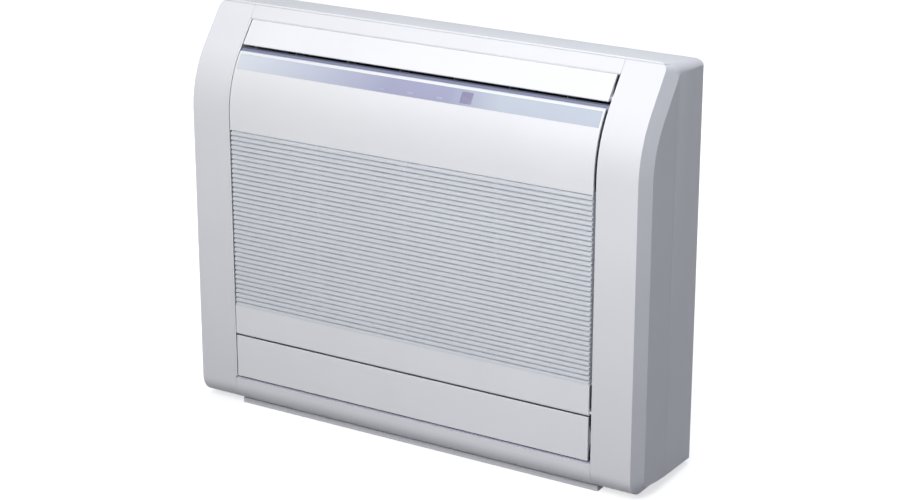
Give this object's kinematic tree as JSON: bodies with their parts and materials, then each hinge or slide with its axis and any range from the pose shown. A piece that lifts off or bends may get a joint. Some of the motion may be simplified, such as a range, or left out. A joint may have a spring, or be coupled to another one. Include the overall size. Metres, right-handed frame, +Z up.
{
  "type": "floor console air conditioner",
  "caption": "White floor console air conditioner with a slatted hinged intake front, an upper outlet flap over a row of vanes, a lower outlet louver and two cross-flow fans.",
  "frame": {"origin": "on the floor under the middle of the overall box", "axes": "+X to the right as seen from the front, along the width; +Y from the front to the wall; +Z up"},
  "size_m": [0.74, 0.2, 0.6],
  "materials": {
    "casing_white": "satin, smooth moulded",
    "moving_white": "satin, smooth moulded",
    "slat_white": "satin",
    "silver_strip": "pearl silver with a violet tint",
    "violet_window": "smoked violet, clear coat",
    "lamp_lens": "milky",
    "base_white": "satin",
    "inner_plastic": "plain moulded",
    "duct_plastic": "plain moulded, dark",
    "rotor_plastic": "dark, glass filled",
    "filter_mesh": "fine mesh in a rim",
    "cleaner_media": "pleated filter media",
    "fin_aluminium": "thin bare fins",
    "sheet_steel": "zinc coated",
    "shaft_steel": "ground",
    "copper": "drawn copper",
    "motor_paint": "black enamel",
    "rubber": "moulded rubber",
    "board_green": "glass fibre board",
    "terminal_black": "moulded",
    "small_dark": "moulded"
  },
  "bodies": {
    "casing": {"rear_case": "casing_white", "left_side_cover": "casing_white", "right_side_cover": "casing_white", "upper_trim": "casing_white", "base_panel": "casing_white", "base_rail": "base_white", "wall_bracket": "sheet_steel", "front_frame": "inner_plastic", "upper_flap_motor": "sheet_steel", "lower_louver_motor": "sheet_steel", "left_air_filter": "filter_mesh", "right_air_filter": "filter_mesh", "air_cleaning_filters": "cleaner_media", "upper_scroll": "duct_plastic", "lower_scroll": "duct_plastic", "upper_stabiliser": "duct_plastic", "lower_stabiliser": "duct_plastic", "left_end_wall": "inner_plastic", "right_end_wall": "inner_plastic", "upper_fan_bearing": "rubber", "lower_fan_bearing": "rubber", "upper_fan_motor": "motor_paint", "lower_fan_motor": "motor_paint", "evaporator_fins": "fin_aluminium", "evaporator_tube_sheets": "sheet_steel", "evaporator_return_bends": "copper", "gas_pipe": "copper", "liquid_pipe": "copper", "drain_pan": "inner_plastic", "drain_spigot": "small_dark", "control_box": "sheet_steel", "control_box_lid": "sheet_steel", "circuit_board": "board_green", "terminal_block": "terminal_black", "switch_panel": "inner_plastic", "indicator_board": "board_green", "room_thermistor": "terminal_black", "frame_screws": "shaft_steel"},
    "intake_grille": {"grille_panel": "moving_white", "grille_slats": "slat_white", "display_strip": "silver_strip", "receiver_window": "violet_window", "lamp_lenses": "lamp_lens"},
    "upper_flap": {"upper_flap": "moving_white"},
    "lower_louver": {"lower_louver": "moving_white"},
    "upper_fan": {"upper_fan_rotor": "rotor_plastic", "upper_fan_shafts": "shaft_steel"},
    "lower_fan": {"lower_fan_rotor": "rotor_plastic", "lower_fan_shafts": "shaft_steel"},
    "upper_vane_1": {"upper_vane_1": "duct_plastic"},
    "upper_vane_2": {"upper_vane_2": "duct_plastic"},
    "upper_vane_3": {"upper_vane_3": "duct_plastic"},
    "upper_vane_4": {"upper_vane_4": "duct_plastic"},
    "upper_vane_5": {"upper_vane_5": "duct_plastic"},
    "upper_vane_6": {"upper_vane_6": "duct_plastic"},
    "vane_link_bar": {"vane_link_bar": "small_dark"},
    "manual_button": {"manual_button": "small_dark"},
    "outlet_switch_knob": {"outlet_switch_knob": "terminal_black"}
  },
  "joints": [
    {"name": "intake_grille_hinge", "type": "hinge", "parent": "casing", "child": "intake_grille", "pos_m": [0, -0.096, 0.1215], "axis": [1, 0, 0], "range_deg": [0, 65]},
    {"name": "upper_flap_hinge", "type": "hinge", "parent": "casing", "child": "upper_flap", "pos_m": [0, -0.05217, 0.54988], "axis": [1, 0, 0], "range_deg": [0, 60]},
    {"name": "lower_louver_hinge", "type": "hinge", "parent": "casing", "child": "lower_louver", "pos_m": [0, -0.088, 0.0835], "axis": [1, 0, 0], "range_deg": [0, 70]},
    {"name": "upper_fan_spin", "type": "hinge", "parent": "casing", "child": "upper_fan", "pos_m": [0, 0.022, 0.478], "axis": [1, 0, 0], "continuous": true},
    {"name": "lower_fan_spin", "type": "hinge", "parent": "casing", "child": "lower_fan", "pos_m": [0, 0.022, 0.122], "axis": [1, 0, 0], "continuous": true},
    {"name": "upper_vane_1_pivot", "type": "hinge", "parent": "casing", "child": "upper_vane_1", "pos_m": [-0.22, -0.04338, 0.51712], "axis": [0, 0.7459, 0.6661], "range_deg": [-30, 30]},
    {"name": "upper_vane_2_pivot", "type": "hinge", "parent": "casing", "child": "upper_vane_2", "pos_m": [-0.132, -0.04338, 0.51712], "axis": [0, 0.7459, 0.6661], "range_deg": [-30, 30]},
    {"name": "upper_vane_3_pivot", "type": "hinge", "parent": "casing", "child": "upper_vane_3", "pos_m": [-0.044, -0.04338, 0.51712], "axis": [0, 0.7459, 0.6661], "range_deg": [-30, 30]},
    {"name": "upper_vane_4_pivot", "type": "hinge", "parent": "casing", "child": "upper_vane_4", "pos_m": [0.044, -0.04338, 0.51712], "axis": [0, 0.7459, 0.6661], "range_deg": [-30, 30]},
    {"name": "upper_vane_5_pivot", "type": "hinge", "parent": "casing", "child": "upper_vane_5", "pos_m": [0.132, -0.04338, 0.51712], "axis": [0, 0.7459, 0.6661], "range_deg": [-30, 30]},
    {"name": "upper_vane_6_pivot", "type": "hinge", "parent": "casing", "child": "upper_vane_6", "pos_m": [0.22, -0.04338, 0.51712], "axis": [0, 0.7459, 0.6661], "range_deg": [-30, 30]},
    {"name": "vane_link_slide", "type": "slide", "parent": "casing", "child": "vane_link_bar", "axis": [1, 0, 0], "range_m": [-0.0045, 0.0045]},
    {"name": "manual_button_press", "type": "slide", "parent": "casing", "child": "manual_button", "axis": [0, 0.9798, -0.2], "range_m": [0, 0.0015], "stiffness_N_per_m": 500},
    {"name": "outlet_switch_slide", "type": "slide", "parent": "casing", "child": "outlet_switch_knob", "axis": [1, 0, 0], "range_m": [0, 0.003]}
  ],
  "couplings": [
    {"joint": "upper_vane_2_pivot", "follows": "upper_vane_1_pivot", "ratio": 1},
    {"joint": "upper_vane_3_pivot", "follows": "upper_vane_1_pivot", "ratio": 1},
    {"joint": "upper_vane_4_pivot", "follows": "upper_vane_1_pivot", "ratio": 1},
    {"joint": "upper_vane_5_pivot", "follows": "upper_vane_1_pivot", "ratio": 1},
    {"joint": "upper_vane_6_pivot", "follows": "upper_vane_1_pivot", "ratio": 1},
    {"joint": "vane_link_slide", "follows": "upper_vane_1_pivot", "m_per_rad": -0.0085}
  ]
}
